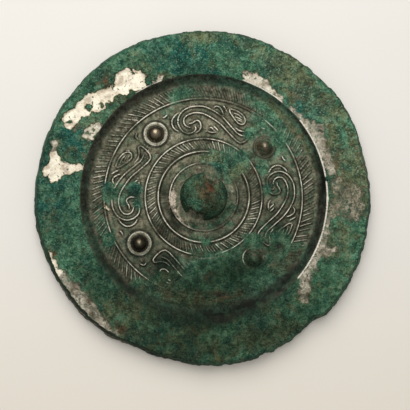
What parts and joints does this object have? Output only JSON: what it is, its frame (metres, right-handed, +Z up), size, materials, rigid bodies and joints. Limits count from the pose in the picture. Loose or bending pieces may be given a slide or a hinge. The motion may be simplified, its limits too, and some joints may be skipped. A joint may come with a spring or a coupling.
{
  "type": "bronze mirror",
  "caption": "Cast bronze hand mirror lying face down: wide plain rim, sunk decorated field with nipples, serpent scrolls and hatched bands, and a pierced round knob.",
  "frame": {"origin": "centre of the small flat in the middle of the convex reflecting face, which the mirror rests on", "axes": "+Z up, out of the decorated back and along the knob; +Y towards the top of the pattern; +X to the right; the knob's cord channel runs 24 degrees from +Y towards +X"},
  "size_m": [0.1043, 0.1043, 0.0099],
  "materials": {
    "patinated_bronze": "corroded: rough green crust over dark bronze, silvery tinned patches on the rim"
  },
  "bodies": {
    "root": {"mirror": "patinated_bronze"}
  },
  "joints": []
}
